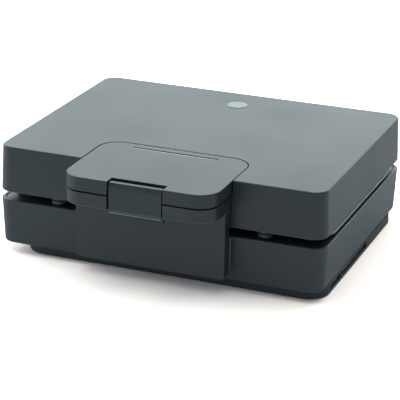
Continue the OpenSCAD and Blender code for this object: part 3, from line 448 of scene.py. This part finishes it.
# %% Painted rim highlights
# A painted highlight: the shade of the pale lines that stand for light caught by the rims.
RIM_HIGHLIGHT_SHADE = (0.120, 0.140, 0.155)


def calculated(mat, operation, *values):
    return add_node(mat.node_tree, "ShaderNodeMath", dict(enumerate(values)), operation=operation).outputs[0]


def highlighted_rim_finish(name, *heights, depth=0.0007, shade=RIM_HIGHLIGHT_SHADE):
    """The slate finish with a paler line at each height, painted as a highlight."""
    mat = finish(name, SLATE, SLATE_ROUGH, **SLATE_GRAIN)
    point = add_node(mat.node_tree, "ShaderNodeSeparateXYZ", {0: object_point(mat)})
    for height in heights:
        above = calculated(mat, "SUBTRACT", point.outputs["Z"], height)
        away = calculated(mat, "ABSOLUTE", above)
        mixed_in(mat, between(mat, away, depth, depth / 2), shade)
    print(name, "rims at", [round(height * 1000, 1) for height in heights], "mm")
    return mat


print("a worn rim's shade is", RIM_HIGHLIGHT_SHADE)

# %% [markdown]
# ## Painted highlights on the plates' edges
# The outer edge of a plate's flange catches the light and shows as a bright line in the gap between lid
# and base, so that line is painted into the colour as a metal-grey highlight. A point's distance from the
# nearest side of the plate's box, along X or along Y, finds that edge.

# %% Painted edge highlights
# A painted highlight: the metal grey of the bright lines on the plates' edges and the latch's lip.
EDGE_HIGHLIGHT_GREY = (0.30, 0.31, 0.32)
EDGE_WIDTH = 0.0012
EDGE_FADE = 1.3


def plate_edge_highlight(name, node):
    """The non-stick finish with a painted highlight, a metal-grey line, along the outer edge of a plate's
    flange.
    """
    mat = non_stick.copy()
    mat.name = name
    low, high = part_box(node)
    point = add_node(mat.node_tree, "ShaderNodeSeparateXYZ", {0: object_point(mat, middle_of(node))})
    past = []
    for axis, letter in enumerate("XY"):
        away = calculated(mat, "ABSOLUTE", point.outputs[letter])
        past.append(calculated(mat, "SUBTRACT", away, (high[axis] - low[axis]) / 2))
    nearest = calculated(mat, "MAXIMUM", *past)
    mixed_in(mat, between(mat, nearest, -EDGE_FADE * EDGE_WIDTH, -EDGE_WIDTH), EDGE_HIGHLIGHT_GREY)
    print(name, "from", round(low[2] * 1000, 1), "to", round(high[2] * 1000, 1), "mm")
    return mat


print("a bare edge is", EDGE_WIDTH * 1000, "mm wide")

# %% [markdown]
# ## Finishes of single pieces
# Six pieces have a finish of their own, made by the functions above: the lower handle, the base, the lid
# and the latch with painted highlights along their rims, and the two plates with painted highlights along
# their edges. The boxes of the solids give most of the heights. The four buttons are polished, unlike the
# other pieces in the slot of black plastic.

# %% Single pieces
HANDLE_PLATE_UNDERSIDE = 0.0748
LATCH_LIP_ABOVE_FOOT = 0.0046
INSIDE_THE_EDGE = 0.0002


def bottom(node):
    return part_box(node)[0][2]


def top(node):
    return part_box(node)[1][2]


base_rims = (bottom("base_shell"), top("base_shell") - INSIDE_THE_EDGE)
lid_rim = bottom("lid_cover") + INSIDE_THE_EDGE
latch_lip = bottom("latch") + LATCH_LIP_ABOVE_FOOT
# The rims and edges below carry painted highlights: pale lines that stand for caught light.
OWN_FINISH = {
    "lower_handle": highlighted_rim_finish("slate_lower_handle", HANDLE_PLATE_UNDERSIDE),
    "base_shell": highlighted_rim_finish("slate_base_shell", *base_rims),
    "lid_cover": highlighted_rim_finish("slate_lid_cover", lid_rim, depth=0.0005),
    "lower_plate": plate_edge_highlight("non_stick_lower_plate", "lower_plate"),
    "upper_plate": plate_edge_highlight("non_stick_upper_plate", "upper_plate"),
    # The latch's lip gets a painted highlight in that metal grey.
    "latch": highlighted_rim_finish("slate_latch", latch_lip, depth=0.0010, shade=EDGE_HIGHLIGHT_GREY),
}
OWN_FINISH.update({node: button_gloss for node in solids if "button" in node})
print(len(OWN_FINISH), "pieces have a finish of their own")

# %% [markdown]
# ## Finishes on the solids
# Each solid names its material slot in the record. One table from slot to finish dresses all the others.

# %% Dress the solids
FINISHES = {
    "slate": slate_moulding, "inner_plastic": inner_moulding, "black_plastic": black_moulding,
    "non_stick": non_stick, "rod_steel": rod_steel, "sheet_metal": bright_sheet, "steel": plated_steel,
    "rubber": foot_rubber, "lens": milky_strip, "badge": badge_metal, "board": board_green,
    "ceramic_plastic": ivory_block,
}
SLOT_OF = {part["node"]: part["material_slot"] for part in frame["record"]["subparts"]}


def finish_of(node):
    return OWN_FINISH.get(node, FINISHES[SLOT_OF[node]])


for node in SLOT_OF:
    solids[node].data.materials.clear()
    solids[node].data.materials.append(finish_of(node))
print("dressed", len(SLOT_OF), "solids")

# %% [markdown]
# ## Merged copies
# A solid's mesh keeps the corners of each of its faces apart.

# %% Copy helpers
MERGE_DISTANCE = 0.00001
BODY_OF = {
    node: body
    for body, members in frame["record"]["behaviour"]["bodies"].items()
    for node in members
}


def merged_copy(node):
    bm = bmesh.new()
    bm.from_mesh(solids[node].data)
    bmesh.ops.remove_doubles(bm, verts=bm.verts, dist=MERGE_DISTANCE)
    return bm


def stand_for(piece, node):
    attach(piece, BODY_OF[node])
    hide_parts(node)


# %% [markdown]
# ## The latch's top edge
# The top of the latch's face rolls back into the notch of the handle, and the roll ends in a crisp edge
# that catches the light. The solid's roll is long and soft. On the copy, its vertices are found by their
# place on the roll's curve and are drawn forward, which leaves a steeper, tighter roll inside the solid's
# box.

# %% Stand the latch's top up
LIP_BEFORE_FACE = 0.0010
ROLL_HEIGHT, ROLL_DEPTH = 0.0060, 0.0036
ROLL_FOOT_SHARE = 0.1
ON_THE_CURVE = 0.00005
ROLL_KEEPS = 0.38


def steeper_latch_top(bm):
    low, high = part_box("latch")
    face_y = low[1] + LIP_BEFORE_FACE
    roll_start = high[2] - ROLL_HEIGHT
    moved = 0
    for vert in bm.verts:
        up_the_roll = (vert.co.z - roll_start) / ROLL_HEIGHT
        rolled_y = face_y + ROLL_DEPTH * up_the_roll ** 2
        if up_the_roll > ROLL_FOOT_SHARE and abs(vert.co.y - rolled_y) < ON_THE_CURVE:
            vert.co.y = face_y + ROLL_KEEPS * (vert.co.y - face_y)
            moved += 1
    print("latch top:", moved, "vertices stood up")


print("the roll keeps", ROLL_KEEPS, "of its depth")

# %% [markdown]
# ## Softened mouldings
# A solid's edges are perfectly sharp, and a moulded edge never is: it has a small round that catches the
# light. The flat triangles of the merged copy are dissolved into whole faces first, so that only real
# edges are left. A narrow bevel then rounds every edge that turns sharply, and on slate pieces the round
# takes the pale slate, a painted highlight. Weighted normals keep the faces beside it looking flat. The
# cast plates, the rubber feet and the badge are softened in the same way.

# %% A moulding's whole faces
FLAT_TURN = math.radians(0.6)


def whole_faced(node):
    bm = merged_copy(node)
    if node == "latch":
        steeper_latch_top(bm)
    bmesh.ops.dissolve_limit(bm, angle_limit=FLAT_TURN, verts=bm.verts, edges=bm.edges)
    for face in bm.faces:
        face.smooth = True
    mesh = made_mesh("soft_" + node, bm)
    if "custom_normal" in mesh.attributes:
        mesh.attributes.remove(mesh.attributes["custom_normal"])
    mesh.materials.append(finish_of(node))
    return mesh


print("faces join below a turn of", round(math.degrees(FLAT_TURN), 1), "degrees")

# %% A moulding's round edges
SHARP_TURN = math.radians(32.0)
ROUND_STEPS = 3
LARGEST_FACES_LEAD = 100


def softened(node, width):
    piece = new_object("soft_" + node, whole_faced(node))
    rounding = piece.modifiers.new("edge_rounding", "BEVEL")
    rounding.width = width
    rounding.segments = ROUND_STEPS
    rounding.limit_method = "ANGLE"
    rounding.angle_limit = SHARP_TURN
    # On slate pieces the round takes the pale slate, a painted highlight.
    if SLOT_OF[node] == "slate":
        piece.data.materials.append(edge_highlight_slate)
        rounding.material = 1
    flat_faces = piece.modifiers.new("flat_faces", "WEIGHTED_NORMAL")
    flat_faces.weight = LARGEST_FACES_LEAD
    flat_faces.keep_sharp = False
    stand_for(piece, node)


print("edges round above a turn of", round(math.degrees(SHARP_TURN)), "degrees")

# %% Soften the mouldings
BROAD, NARROW, FINE = 0.0004, 0.0003, 0.0001
SOFT_EDGES = {
    "upper_handle": BROAD, "lower_handle": BROAD, "latch": NARROW, "lid_cover": NARROW,
    "base_shell": NARROW, "bottom_cover": NARROW, "lid_frame": NARROW, "lower_plate": BROAD,
    "upper_plate": BROAD, "hinge_bracket_left": BROAD, "hinge_bracket_right": BROAD,
    "hinge_arm_left": BROAD, "hinge_arm_right": BROAD, "inlet_gland": NARROW,
    "lower_button_left": NARROW, "lower_button_right": NARROW, "upper_button_left": NARROW,
    "upper_button_right": NARROW, "foot_front_left": NARROW, "foot_front_right": NARROW,
    "foot_back_left": NARROW, "foot_back_right": NARROW, "badge_disc": FINE,
}
for node, width in SOFT_EDGES.items():
    softened(node, width)
print("softened", len(SOFT_EDGES), "pieces")

# %% [markdown]
# ## The button springs
# A button stands on a small coil spring, and pressing the button makes the coil shorter. The record says
# which spring goes with which joint and where its still end is. Here each spring gets a merged copy in
# plated steel that stands in for its solid.

# %% Button springs
for joint in frame["record"]["behaviour"]["joints"]:
    for coil in joint.get("deforming_nodes", []):
        node = coil["node"]
        spring = new_object("soft_" + node, made_mesh("soft_" + node, merged_copy(node)))
        spring.data.materials.append(plated_steel)
        stand_for(spring, node)
        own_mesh(spring)
